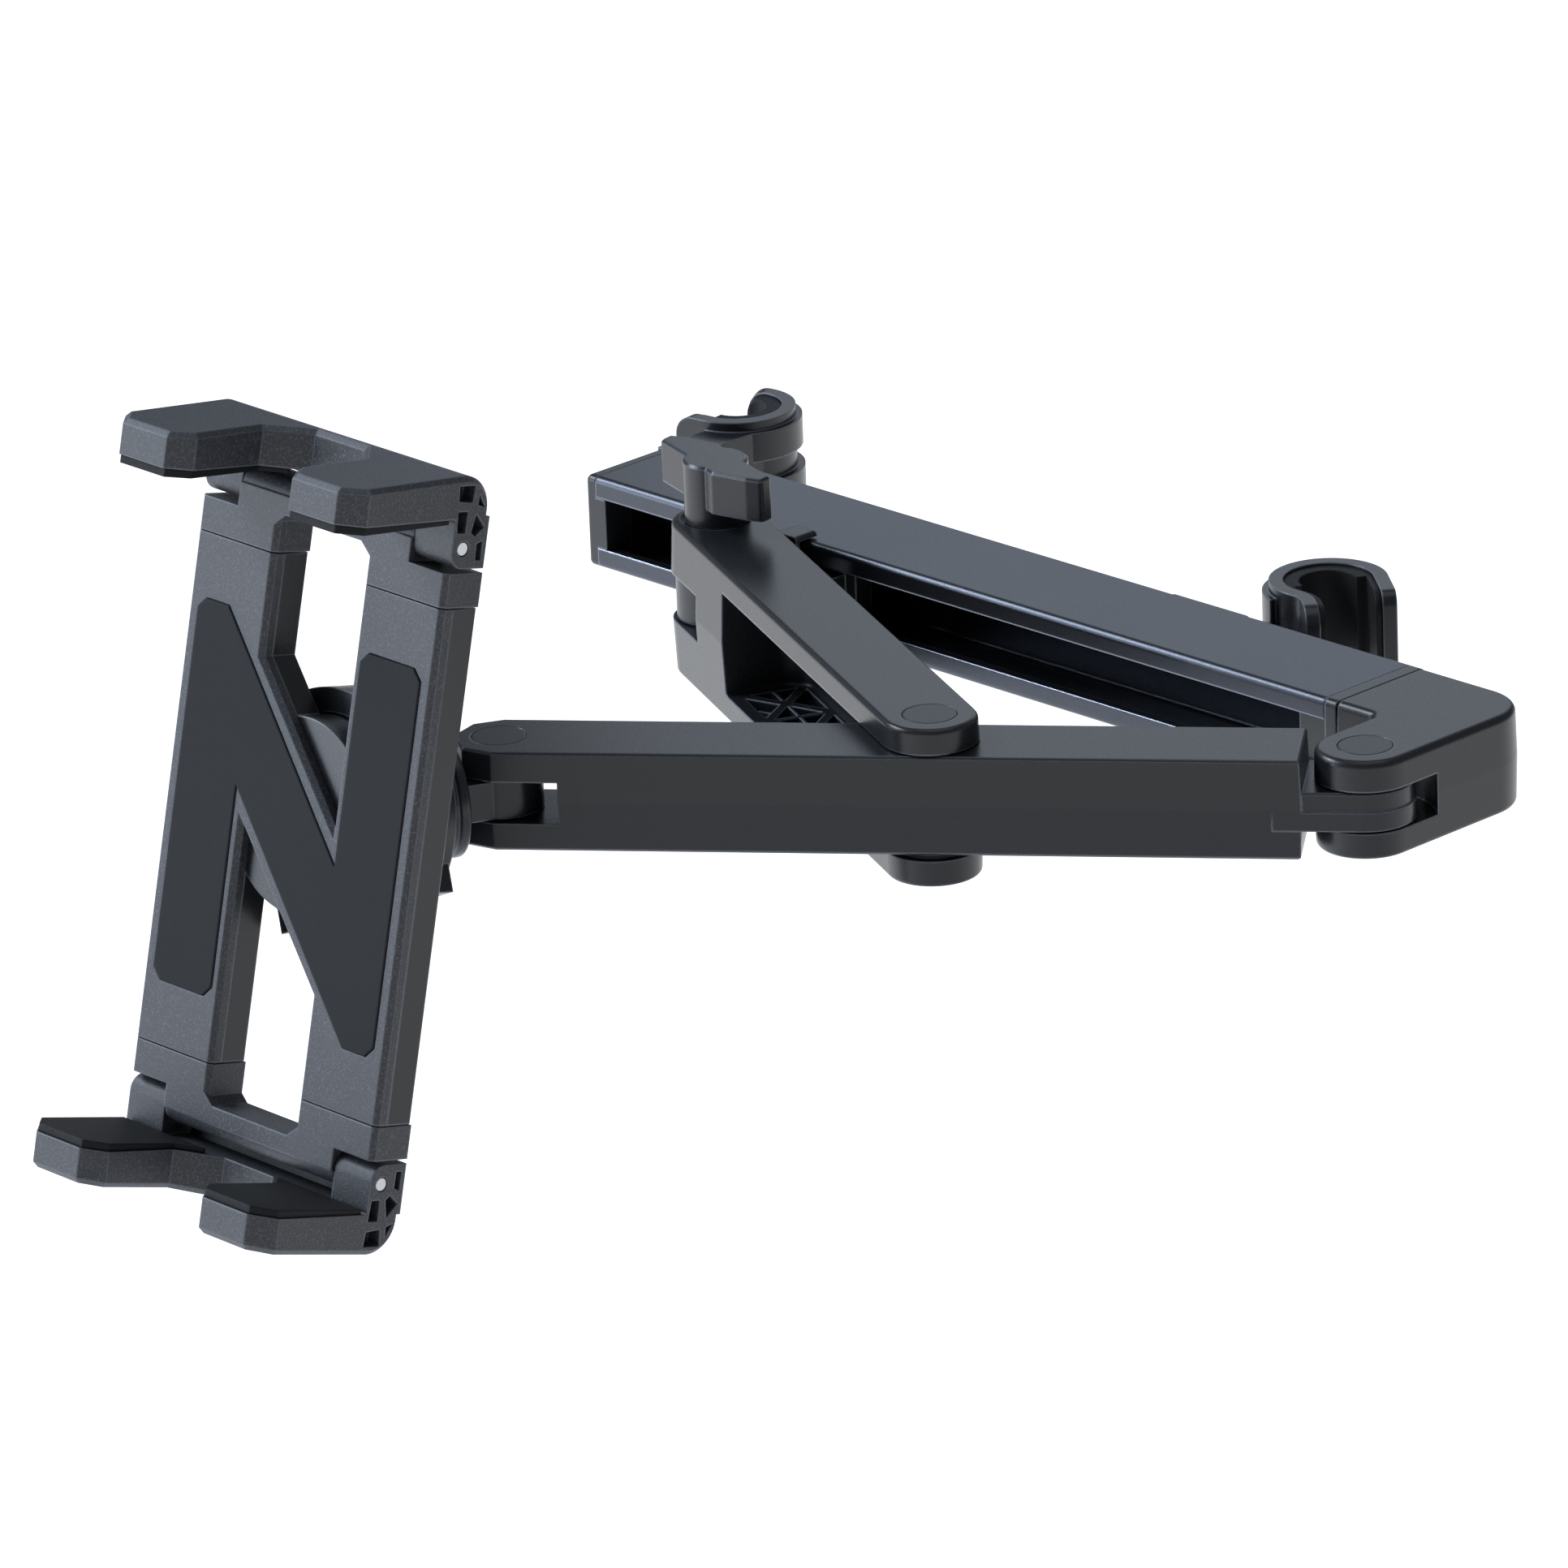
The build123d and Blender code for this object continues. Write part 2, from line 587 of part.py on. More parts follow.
def right_shell():
    body = hook_wall(LINER_R, HOOK_R, RAIL_Z, RIGHT_SHAPE)
    body -= hook_ends(RIGHT_SHAPE, 3.0, END_R, RAIL_Z)
    band = sector(0, 0, HOOK_R - 0.5, HOOK_R + HOOK_BAND, 150, 290, -RAIL_Z, RAIL_Z - HOOK_LEDGE)
    return Rot(0, 0, RIGHT_TURN) * (body + band)


def right_hook():
    """The fixed hook, with a foot that lies flat on the rail's back."""
    body = right_shell()
    neck = block(-8.5, 0.0, RAIL_Y1 + 1, -6.0, -RAIL_Z + 0.6, NECK_TOP)
    body += neck - rod(HOOK_R - 0.5, -30, 30)
    foot = block(-23.0, 0.0, RAIL_Y1 + 0.02, RAIL_Y1 + 3.4, -FOOT_HALF, FOOT_HALF)
    body += fillet(foot.edges().filter_by(Axis.Y), 1.5)
    for x in RIGHT_SCREWS:
        for z in (SCREW_Z, -SCREW_Z):
            body -= lying_y(1.5, RAIL_Y1 - 1, RAIL_Y1 + 6, x, z)
            body -= lying_y(2.4, RAIL_Y1 + 1.9, RAIL_Y1 + 12, x, z)
    return body


def right_hook_liner():
    return Rot(0, 0, RIGHT_TURN) * hook_liner(RIGHT_SHAPE, RAIL_Z - 0.5)


def right_hook_screws():
    screws = []
    for x in RIGHT_SCREWS:
        for z in (SCREW_Z, -SCREW_Z):
            head = lying_y(2.2, RAIL_Y1 + 1.9, RAIL_Y1 + 3.6, x, z)
            shaft = lying_y(1.45, RAIL_Y1 - RAIL_WALL - 0.9, RAIL_Y1 + 2.2, x, z)
            drive = lying_y(1.1, RAIL_Y1 + 2.8, RAIL_Y1 + 4, x, z)
            screws.append(head + shaft - drive)
    return Compound(children=screws)


LEFT_PLACE = Pos(-POST_SPACING, 0, 0)


def facing_left(body):
    """The same shape with its mouth towards -X, at the left post."""
    return LEFT_PLACE * mirror(body, Plane.YZ)


def left_hook():
    """The sliding hook, with a stem through the rail's back channel."""
    body = hook_wall(LINER_R, HOOK_R, RAIL_Z, LEFT_SHAPE)
    body -= hook_ends(LEFT_SHAPE, END_R, END_R, RAIL_Z)
    for z0, z1, out in ((BAND_GROOVE_TOP, RAIL_Z - HOOK_LEDGE, HOOK_BAND),
                        (-RAIL_Z, BAND_GROOVE_BOTTOM, HOOK_BAND + 0.3)):
        body += sector(0, 0, HOOK_R - 0.5, HOOK_R + out, 80, 262, z0, z1)
    body = Rot(0, 0, LEFT_TURN) * body
    neck = block(-11.6, -2.0, RAIL_Y1 + 0.3, -4.0, -RAIL_Z + 0.6, RAIL_Z - HOOK_LEDGE)
    body += neck - rod(HOOK_R - 0.5, -30, 30)
    foot = block(-32.0, -2.0, RAIL_Y1 + 0.3, RAIL_Y1 + 3.2, -FOOT_HALF, FOOT_HALF)
    body += fillet(foot.edges().filter_by(Axis.Y), 1.5)
    stem = REAR_SLOT_HALF - SLIDE_GAP
    body += block(-31.5, -14.8, RAIL_Y1 - RAIL_WALL - SLIDE_GAP, RAIL_Y1 + 1, -stem, stem)
    for x in LEFT_SCREWS:
        body -= lying_y(1.3, RAIL_Y1 - 6, RAIL_Y1 + 6, x, 0)
        body -= lying_y(2.6, RAIL_Y1 + 1.6, RAIL_Y1 + 6, x, 0)
    return facing_left(body)


def left_hook_foot():
    """The nut plate that runs in the rail's back channel."""
    y1 = RAIL_Y1 - RAIL_WALL - SLIDE_GAP
    half = CAVITY_HALF - SLIDE_GAP
    body = block(-31.5, -14.8, y1 - 3.0, y1, -half, half)
    body = fillet(body.edges().filter_by(Axis.Y), 1.0)
    for x in LEFT_SCREWS:
        body -= lying_y(1.22, y1 - 4, y1 + 1, x, 0)
    return facing_left(body)


def left_hook_screws():
    screws = []
    y1 = RAIL_Y1 - RAIL_WALL - SLIDE_GAP
    for x in LEFT_SCREWS:
        head = lying_y(2.4, RAIL_Y1 + 1.6, RAIL_Y1 + 3.0, x, 0)
        shaft = lying_y(1.2, y1 - 2.6, RAIL_Y1 + 1.8, x, 0)
        drive = lying_y(1.0, RAIL_Y1 + 2.2, RAIL_Y1 + 4, x, 0)
        screws.append(facing_left(head + shaft - drive))
    return Compound(children=screws)


def left_hook_liner():
    return facing_left(Rot(0, 0, LEFT_TURN) * hook_liner(LEFT_SHAPE, RAIL_Z - 0.5))


# Stub with the ball
def lying_x(radius, x0, x1):
    """A cylinder lying along X on the axis itself."""
    return across(radius, x0, x1, 0, 0)


def stub():
    body = rod(STUB_R, -TONGUE_HALF, TONGUE_HALF)
    body += block(0, FLANGE_AT + 0.5, -STUB_R + 1.2, STUB_R - 1.2, -TONGUE_HALF, TONGUE_HALF)
    flange = lying_x(FLANGE_R, FLANGE_AT, FLANGE_AT + FLANGE_THICK)
    flange = fillet(flange.edges(), 0.9)
    second = lying_x(FLANGE_R - 0.6, FLANGE_AT + FLANGE_THICK - 0.3, FLANGE_AT + FLANGE_THICK + 2.0)
    second = fillet(second.edges().group_by(Axis.X)[-1], 0.8)
    body += flange + second
    flare = Pos(FLANGE_AT + FLANGE_THICK + 3.4, 0, 0) * Rot(0, 90, 0) * Cone(6.0, NECK_R, 4.0)
    body += flare + lying_x(NECK_R, FLANGE_AT, BALL_AT)
    body += Pos(BALL_AT, 0, 0) * Sphere(BALL_R)
    body -= rod(PIN_R + PIN_GAP, -20, 20)
    return STUB_FRAME * body


CUP_IN = BALL_R + CUP_GAP
CUP_OUT = CUP_IN + CUP_WALL
SOCKET_R = CUP_OUT + CUP_GAP
CUP_BACK = 0.6
RING_SEAT = 2.9


def socket_cup():
    """The thin bearing cup between the ball and its socket."""
    body = Sphere(CUP_OUT) - Sphere(CUP_IN)
    body -= block(-20, 20, CUP_BACK, 20, -20, 20)
    return CLAMP_FRAME * body


# Clamp
PLATE_BACK = FRONT_Y + CLAMP_THICK
PART_Y = FRONT_Y + FRONT_THICK


def plate(sketch, y0, y1):
    """Extrude a sketch, drawn in X and Z, from y0 back to y1."""
    place = Plane(origin=(0, y0, 0), x_dir=(1, 0, 0), z_dir=(0, -1, 0))
    return extrude(place * sketch, -(y1 - y0))


def frame_face(half, z_end):
    """The body's face between the two seams, with both windows cut out."""
    face = Rectangle(2 * half, 2 * z_end)
    upper = make_face(Polyline(
        (-WINDOW_HALF, z_end + 1), (-WINDOW_HALF, DIAG_OUT), (WINDOW_HALF, DIAG_IN),
        (WINDOW_HALF, z_end + 1), close=True))
    return face - upper - Rot(0, 0, 180) * upper


def pad_outline(shrink=0.0):
    """The pad's outline, one stroke up each side and one across."""
    x1 = CLAMP_HALF - BEVEL - PAD_MARGIN + 0.1 - shrink
    x0 = WINDOW_HALF + PAD_MARGIN + shrink
    top = SEAM_Z - PAD_END - shrink
    c = PAD_CORNER
    right = [(x0, -4.1 - 2.54 * shrink), (x0, top - c), (x0 + c, top), (x1 - c, top), (x1, top - c), (x1, -top + c),
             (x1 - c, -top), (24.3 + 0.43 * shrink, -top)]
    left = [(-x, -z) for x, z in right]
    return make_face(Polyline(*right, *left, close=True))


def clamp_front():
    body = plate(frame_face(CLAMP_HALF, SEAM_Z - SEAM), FRONT_Y, PART_Y)
    fronts = body.faces().sort_by(Axis.Y)[0].edges().filter_by(lambda e: abs(abs(e.center().Z) - (SEAM_Z - SEAM)) > 0.01)
    body = chamfer(fronts, BEVEL)
    body -= plate(pad_outline(), FRONT_Y - 1, FRONT_Y + PAD_RECESS)
    for x, z in SHELL_SCREWS:
        body -= plate(Pos(x, z) * Circle(1.0), PART_Y - 1.9, PART_Y + 1)
    return PLATE_FRAME * body


SHELL_SCREWS = [(-16.8, 20.0), (16.8, -20.0), (-16.8, -40.0), (16.8, 40.0)]


def front_pad():
    body = plate(pad_outline(0.15), FRONT_Y - PAD_PROUD, FRONT_Y + PAD_RECESS - 0.01)
    rim = body.faces().sort_by(Axis.Y)[0].edges()
    body = chamfer(rim, 0.2)
    return PLATE_FRAME * body


def leg_channels(z_end):
    """Room for the four legs of the sliding ends."""
    y1 = PART_Y + LEG_THICK + 2 * LEG_GAP
    wide = block(LEG_IN - LEG_GAP, LEG_OUT + LEG_GAP, PART_Y - 0.01, y1, -z_end - 1, z_end + 1)
    return wide + mirror(wide, Plane.YZ)


def clamp_back():
    body = plate(frame_face(CLAMP_HALF, SEAM_Z - SEAM), PART_Y + 0.02, PLATE_BACK)
    backs = body.faces().sort_by(Axis.Y)[-1].edges().filter_by(lambda e: abs(abs(e.center().Z) - (SEAM_Z - SEAM)) > 0.01)
    body = chamfer(backs, 0.6)
    body -= leg_channels(SEAM_Z)
    hub = Pos(0, 0, -CLAMP_MID) * plate(Circle(HUB_R), PART_Y + 0.02, 2.0)
    body += hub
    body -= leg_channels(SEAM_Z)
    ball_room = Pos(0, 0, -CLAMP_MID) * (Sphere(SOCKET_R))
    body -= ball_room
    mouth = Pos(0, 0, -CLAMP_MID) * plate(Circle(SOCKET_R), 0, 6)
    body -= mouth
    for x, z in SHELL_SCREWS:
        body -= plate(Pos(x, z) * Circle(1.15), PART_Y - 1, PLATE_BACK + 1)
        body -= plate(Pos(x, z) * Circle(2.2), PLATE_BACK - 1.6, PLATE_BACK + 1)
    return PLATE_FRAME * body


def shell_screws():
    screws = []
    for x, z in SHELL_SCREWS:
        head = plate(Pos(x, z) * Circle(2.0), PLATE_BACK - 1.6, PLATE_BACK - 0.2)
        shaft = plate(Pos(x, z) * Circle(0.98), PART_Y - 1.8, PLATE_BACK - 1.5)
        drive = plate(Pos(x, z) * RegularPolygon(0.8, 6), PLATE_BACK - 1.0, PLATE_BACK + 1)
        screws.append(PLATE_FRAME * (head + shaft - drive))
    return Compound(children=screws)


def lock_ring():
    """The hand nut that squeezes the ball, with four finger lugs."""
    y0, y1 = PLATE_BACK + 1.6, 7.0
    body = plate(Circle(RING_R), y0, y1)
    for k in range(4):
        lug = plate(Rot(0, 0, -20 + 90 * k) * Pos(RING_R - 0.6, 0) * Rot(0, 0, 45) * Rectangle(6.2, 6.2), y0 + 0.6, y1 - 0.6)
        body += lug
    body = body & plate(Circle(RING_LUG), y0 - 1, y1 + 1)
    body -= plate(Circle(HUB_R + RING_BORE_GAP), y0 - 1, 2.4)
    body -= Sphere(SOCKET_R) & block(-20, 20, -20, RING_SEAT, -20, 20)
    body -= Sphere(CUP_IN)
    mouth = 6.9
    deep = y1 + 1 - 3.2
    body -= Pos(0, 3.2 + deep / 2, 0) * Rot(-90, 0, 0) * Cone(mouth, mouth + 1.7 * deep, deep)
    return CLAMP_FRAME * body


# Sliding ends of the clamp, drawn for the upper end
def slide_end():
    y_pin = FRONT_Y + CLAW_PIN_Y
    body = block(-CLAMP_HALF, CLAMP_HALF, FRONT_Y, PLATE_BACK, SEAM_Z + SEAM, NOTCH_Z)
    body += block(-NOTCH_X + KNUCKLE_GAP, NOTCH_X - KNUCKLE_GAP, FRONT_Y, PLATE_BACK, NOTCH_Z - 1, CLAW_PIN_Z)
    knuckle = HUB - 0.2
    body += across(knuckle, -NOTCH_X + KNUCKLE_GAP, NOTCH_X - KNUCKLE_GAP, y_pin, CLAW_PIN_Z)
    body += block(-NOTCH_X + KNUCKLE_GAP, NOTCH_X - KNUCKLE_GAP, y_pin, PLATE_BACK, CLAW_PIN_Z - 1, CLAW_PIN_Z + knuckle)
    window = make_face(Polyline(
        (-WINDOW_HALF, SEAM_Z - 2), (-WINDOW_HALF, WINDOW_END - 1.6), (-WINDOW_HALF + 2.0, WINDOW_END),
        (WINDOW_HALF - 2.0, WINDOW_END), (WINDOW_HALF, WINDOW_END - 1.6), (WINDOW_HALF, SEAM_Z - 2), close=True))
    body -= plate(window, FRONT_Y - 1, PLATE_BACK + 1)
    edges = body.edges().filter_by(Axis.Z).filter_by(
        lambda e: abs(e.center().Y - FRONT_Y) < 0.01 and (abs(abs(e.center().X) - CLAMP_HALF) < 0.01
                                                         or abs(abs(e.center().X) - WINDOW_HALF) < 0.01))
    body = chamfer(edges, BEVEL)
    for x0, x1 in ((LEG_IN, LEG_OUT), (-LEG_OUT, -LEG_IN)):
        y0 = PART_Y + LEG_GAP
        body += block(x0, x1, y0, y0 + LEG_THICK, SEAM_Z - LEG_LEN, SEAM_Z + 1)
    body -= across(CLAW_PIN_R + PIN_GAP / 2, -40, 40, y_pin, CLAW_PIN_Z)
    return body


def upper_slide():
    return PLATE_FRAME * slide_end()


def flipped(body):
    """The lower end is the upper end turned half round about the plate's normal."""
    return Rot(0, 180, 0) * body


def lower_slide():
    return PLATE_FRAME * flipped(slide_end())


# Claws, drawn for the upper end
def profile(points, x0, x1):
    """Extrude an outline, drawn in Y and Z, along X."""
    place = Plane(origin=(x0, 0, 0), x_dir=(0, 1, 0), z_dir=(1, 0, 0))
    return extrude(place * make_face(Polyline(*points, close=True)), x1 - x0)


CLAW_SIDE = CLAMP_HALF


def claw_plan(inset=0.0):
    """Half of the outline seen along Z: across, and the distance in front of the clamp's face."""
    w = CLAW_SIDE - inset
    tip = CLAW_TIP - inset
    notch = 14.9 + inset
    return [(w, 22.7), (32.2, tip), (18.8, tip), (notch, 22.7), (notch, 5.6 - inset), (7.3, -1.6 - inset)]


def claw_outline():
    """Closed outline of the claw seen along Z, with Y backwards."""
    right = [(CLAW_SIDE, PLATE_BACK + 2)] + [(x, FRONT_Y - forward) for x, forward in claw_plan()]
    return right + [(-x, y) for x, y in reversed(right)]


def claw_side_face():
    """The claw seen from the side, with the round turn at its back."""
    back = PLATE_BACK
    tip = FRONT_Y - CLAW_TIP - 1
    r = CLAW_BACK_R
    low = CLAW_OUT - r
    bend = (back - r * (1 - sin(radians(45))), CLAW_OUT - r * (1 - sin(radians(45))))
    turn = ThreePointArc((back, low), bend, (back - r, CLAW_OUT))
    rest = Polyline((back - r, CLAW_OUT), (tip, CLAW_OUT - CLAW_TAPER),
                    (tip, CLAW_IN - CLAW_RISE), (FRONT_Y, CLAW_IN), (back, CLAW_IN), (back, low))
    return make_face(Curve() + [turn, rest])


def side_extrude(face, x0, x1):
    """Extrude a face, drawn in Y and Z, along X."""
    return extrude(Plane(origin=(x0, 0, 0), x_dir=(0, 1, 0), z_dir=(1, 0, 0)) * face, x1 - x0)


def outer_rim(body):
    """The edges round the claw's outer face, from one side of the back to the other."""
    bend_ends = PLATE_BACK - CLAW_BACK_R - 0.1
    lowest = CLAW_OUT - CLAW_TAPER - 0.2
    ahead = [e for e in body.edges() if e.center().Y < bend_ends and e.center().Z > lowest]
    return [e for e in ahead if abs(e.tangent_at(0.5).Z) < 0.3]


def claw():
    y_pin = FRONT_Y + CLAW_PIN_Y
    body = prism(claw_outline(), CLAW_IN - 3, CLAW_OUT + 2) & side_extrude(claw_side_face(), -CLAW_SIDE - 1, CLAW_SIDE + 1)
    body = chamfer(outer_rim(body), CLAW_EDGE)
    hub_y, hub_z = y_pin + HUB_BACK, CLAW_PIN_Z - HUB_DOWN
    ends = profile([(hub_y - HUB, hub_z), (hub_y - HUB, CLAW_IN + 0.5), (PLATE_BACK, CLAW_IN + 0.5),
                    (PLATE_BACK, hub_z - HUB), (hub_y, hub_z - HUB)], NOTCH_X, CLAW_SIDE)
    ends += across(HUB, NOTCH_X, CLAW_SIDE, hub_y, hub_z)
    body += ends + mirror(ends, Plane.YZ)
    for points in web_pockets():
        cut = profile(points, CLAW_SIDE - 3.4, CLAW_SIDE + 1)
        body -= cut
        body -= mirror(cut, Plane.YZ)
    body -= across(CLAW_PIN_R + PIN_GAP, -CLAW_SIDE - 1, CLAW_SIDE + 1, y_pin, CLAW_PIN_Z)
    return body


def web_pockets():
    """Five pockets round each hinge end, with thin walls between them like a web."""
    fields = [
        [(0.7, 12.7), (5.0, 12.8), (4.7, 9.3), (1.0, 9.6)],
        [(1.1, 7.5), (3.8, 7.6), (3.7, 3.2), (1.5, 3.2)],
        [(6.3, 11.1), (8.1, 8.3), (6.2, 8.9)],
        [(6.0, 7.1), (8.6, 4.3), (6.3, 2.4), (5.2, 3.3)],
        [(8.6, 1.6), (7.1, 1.0), (7.2, -2.4), (8.7, -2.4)],
    ]
    return [[(FRONT_Y + y, CLAW_PIN_Z + z) for y, z in field] for field in fields]


def upper_claw():
    return PLATE_FRAME * claw()


def lower_claw():
    return PLATE_FRAME * flipped(claw())


def claw_pad_shape():
    """A rubber pad under each prong, thicker towards the tip."""
    inset = 0.5
    points = [(x, FRONT_Y - forward) for x, forward in claw_plan(inset)]
    right = [(CLAW_SIDE - inset, FRONT_Y - PAD_BACK)] + points[:5] + [(PAD_INNER, FRONT_Y - PAD_BACK)]
    tip = FRONT_Y - CLAW_TIP - 1
    side = profile([(FRONT_Y, CLAW_IN - 0.02), (tip, CLAW_IN - CLAW_RISE - 0.02),
                    (tip, CLAW_IN - CLAW_RISE - PAD_THICK), (FRONT_Y, CLAW_IN - PAD_THIN)], -CLAW_SIDE, CLAW_SIDE)
    pad = prism(right, CLAW_IN - 8, CLAW_IN + 4) & side
    return Compound(children=[pad, mirror(pad, Plane.YZ)])


def upper_claw_pads():
    return PLATE_FRAME * claw_pad_shape()


def lower_claw_pads():
    return PLATE_FRAME * flipped(claw_pad_shape())


def claw_pin():
    body = across(CLAW_PIN_R, -CLAW_SIDE + 0.2, CLAW_SIDE - 0.2, FRONT_Y + CLAW_PIN_Y, CLAW_PIN_Z)
    return chamfer(body.edges(), 0.2)


def upper_claw_pin():
    return PLATE_FRAME * claw_pin()


def lower_claw_pin():
    return PLATE_FRAME * flipped(claw_pin())


PIECES = [
    rail, rail_end_cap, rail_collar, elbow, elbow_pin, right_hook, right_hook_liner, right_hook_screws,
    left_hook, left_hook_liner, left_hook_foot, left_hook_screws, arm, stub_pin, link, link_pin, carriage,
    knob, knob_screw, stub, socket_cup, clamp_back, clamp_front, front_pad, shell_screws, lock_ring,
    upper_slide, lower_slide, upper_claw, upper_claw_pads, upper_claw_pin, lower_claw, lower_claw_pads,
    lower_claw_pin,
]

for make in PIECES:
    save(make(), make.__name__)
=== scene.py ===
import math

import bmesh
import bpy
from bpy.props import FloatProperty, FloatVectorProperty, PointerProperty
from mathutils import Matrix, Vector


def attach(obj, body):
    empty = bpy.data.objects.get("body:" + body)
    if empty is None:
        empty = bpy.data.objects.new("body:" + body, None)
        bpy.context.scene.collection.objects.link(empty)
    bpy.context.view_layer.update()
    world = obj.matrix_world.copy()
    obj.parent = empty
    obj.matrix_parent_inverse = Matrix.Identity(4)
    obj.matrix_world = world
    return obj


bl_info = {
    "name": "Headrest tablet holder",
    "version": (1, 0, 0),
    "blender": (4, 5, 0),
    "location": "3D View > Sidebar > Holder",
    "description": "Finishes and studio for a tablet holder that hooks on the posts of a headrest",
    "category": "Object",
}

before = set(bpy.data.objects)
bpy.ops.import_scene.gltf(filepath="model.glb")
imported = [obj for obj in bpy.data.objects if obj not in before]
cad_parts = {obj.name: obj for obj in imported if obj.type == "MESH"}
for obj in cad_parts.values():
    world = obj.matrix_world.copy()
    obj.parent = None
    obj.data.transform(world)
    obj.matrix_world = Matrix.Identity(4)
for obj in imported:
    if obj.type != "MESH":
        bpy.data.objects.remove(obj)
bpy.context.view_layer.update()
MM = 0.001

# What each finish is laid on, by the names of the nodes
ANODISED = ("rail",)
MOULDED = (
    "rail_end_cap", "rail_collar", "elbow", "arm", "link", "carriage", "right_hook",
    "left_hook", "left_hook_foot", "stub", "clamp_back", "knob", "lock_ring",
)
GRAINED = ("clamp_front", "upper_slide", "lower_slide", "upper_claw", "lower_claw")
CAPS = ("elbow_pin", "stub_pin", "link_pin")
PAD = ("front_pad",)
RUBBER = ("right_hook_liner", "left_hook_liner", "upper_claw_pads", "lower_claw_pads")
STEEL = (
    "upper_claw_pin", "lower_claw_pin", "right_hook_screws", "left_hook_screws",
    "shell_screws", "knob_screw",
)
BEARING = ("socket_cup",)

# Faint patches of tone on every finish: their width, and the darkest and lightest of them
PATCH_WIDTH = 30 * MM
PATCH_DARK = 0.90
PATCH_LIGHT = 1.12
# How far the roughness strays to either side over the middle half of the noise
GLOSS_SPREAD = 0.05
NOISE_LOW = 0.25
NOISE_HIGH = 0.75
# Height of a grain at full bump strength
GRAIN_HEIGHT = 0.05 * MM
# Cosine between the rounded and the true normal: at an edge, where the painted edge highlight is
# full, and on a flat face, where there is none
COSINE_EDGE = 0.90
COSINE_FACE = 0.998
# What the painted edge highlight adds to an edge's colour, however dark the finish
EDGE_HIGHLIGHT_OFFSET = 0.002
# The crests of the grain that get a painted glint, as a range of the noise, and the brightness of
# the glint
CREST_FROM = 0.50
CREST_TO = 0.68
CREST_GLINT_LIFT = 3.0

# The clamp's own frame: across, backwards and up, from the middle of its plate
CLAMP_FRAME = Matrix((
    (0.999766, 0.021075, 0.004916, -77.603874 * MM),
    (-0.021641, 0.973629, 0.227107, -206.272136 * MM),
    (0.0, -0.227162, 0.973857, -2.399021 * MM),
    (0.0, 0.0, 0.0, 1.0)))

# Section of the lip at a claw's root in the clamp's frame: depth and height in mm.
# It stands 0.35 mm off the sliding end's knuckle.
LIP_SECTION = (
    (-7.7, 70.75), (-7.3, 68.5), (-6.9, 68.05), (-6.2, 68.05), (-5.95, 68.4), (-5.95, 70.75),
)
LIP_HALF_LENGTH = 25.4
LIP_EDGE = 0.12 * MM

# The camera as solved from the straight edges and the round pin caps in the photograph
CAMERA_AT = Vector((1.544595, -1.645507, 0.819177))
CAMERA_RIGHT = Vector((0.70267596, 0.7106362, -0.0352517))
CAMERA_BACK = Vector((0.67404341, -0.64899161, 0.35281067))
SENSOR_WIDTH = 36.0
CLIP_END = 50.0

# What the soft boxes point at
MIDDLE = Vector((-0.05, -0.14, 0.0))
ELBOW = Vector((0.0725, -0.0675, 0.0))

# Name, place, aim, width and height, and power in watts of each soft box
SOFT_BOXES = (
    ("left box", (-1.45, -1.55, 0.30), MIDDLE, (1.2, 1.0), 17),
    ("back box", (-0.36, 0.42, 0.26), ELBOW, (0.45, 0.30), 0.36),
    ("top box", (0.1, 0.1, 1.8), MIDDLE, (1.3, 1.3), 4),
    ("glint box", (-1.13, -0.70, 1.04), MIDDLE, (0.9, 0.45), 17),
)
BOX_COLOUR = (0.78, 0.87, 1.0)
SKY_COLOUR = (0.88, 0.93, 1.0, 1.0)
SKY_STRENGTH = 0.17

# The paper glows less round a spot in front of the holder, so that the holder's lower faces
# stay dark as in the photograph: where the spot is, and the glow by the distance from it
PAPER_RADIUS = 9.0
DIM_SPOT = (0.55, -0.55)
DIM_WITHIN = 0.8
FULL_BEYOND = 1.6
GLOW_DIM = 0.30
GLOW_FULL = 0.95


class HolderFinish(bpy.types.PropertyGroup):
    """Colours and surface sizes of the holder."""

    plastic: FloatVectorProperty(
        name="Plastic", description="Colour of the moulded plastic", subtype="COLOR",
        default=(0.0150, 0.0165, 0.0195), min=0.0, max=1.0)
    sand: FloatVectorProperty(
        name="Textured plastic", description="Colour of the sand textured plastic", subtype="COLOR",
        default=(0.0400, 0.0430, 0.0500), min=0.0, max=1.0)
    pad: FloatVectorProperty(
        name="Pad", description="Colour of the flat pad", subtype="COLOR",
        default=(0.0200, 0.0215, 0.0245), min=0.0, max=1.0)
    metal: FloatVectorProperty(
        name="Rail", description="Colour of the anodised rail", subtype="COLOR",
        default=(0.0700, 0.0760, 0.0900), min=0.0, max=1.0)
    rubber: FloatVectorProperty(
        name="Rubber", description="Colour of the pads and liners", subtype="COLOR",
        default=(0.0080, 0.0085, 0.0095), min=0.0, max=1.0)
    # The edge radius also sets how wide the painted edge highlight is
    edge_radius: FloatProperty(
        name="Edge radius", description="Radius to which the shading rounds the edges",
        subtype="DISTANCE", default=0.60 * MM, min=0.0, max=2 * MM)
    grain: FloatProperty(
        name="Grain", description="Width of one grain of the sand textured faces",
        subtype="DISTANCE", default=0.42 * MM, min=0.05 * MM, max=2 * MM)


class HolderStudio(bpy.types.PropertyGroup):
    """The camera and the floor of the studio."""

    lens: FloatProperty(
        name="Lens", description="Focal length on a 36 mm sensor", subtype="DISTANCE_CAMERA",
        default=265.92, min=10.0, max=1000.0)
    drop: FloatProperty(
        name="Floor depth", description="How far the floor lies under the middle of the rail",
        subtype="DISTANCE", default=0.62, min=0.1, max=2.0)


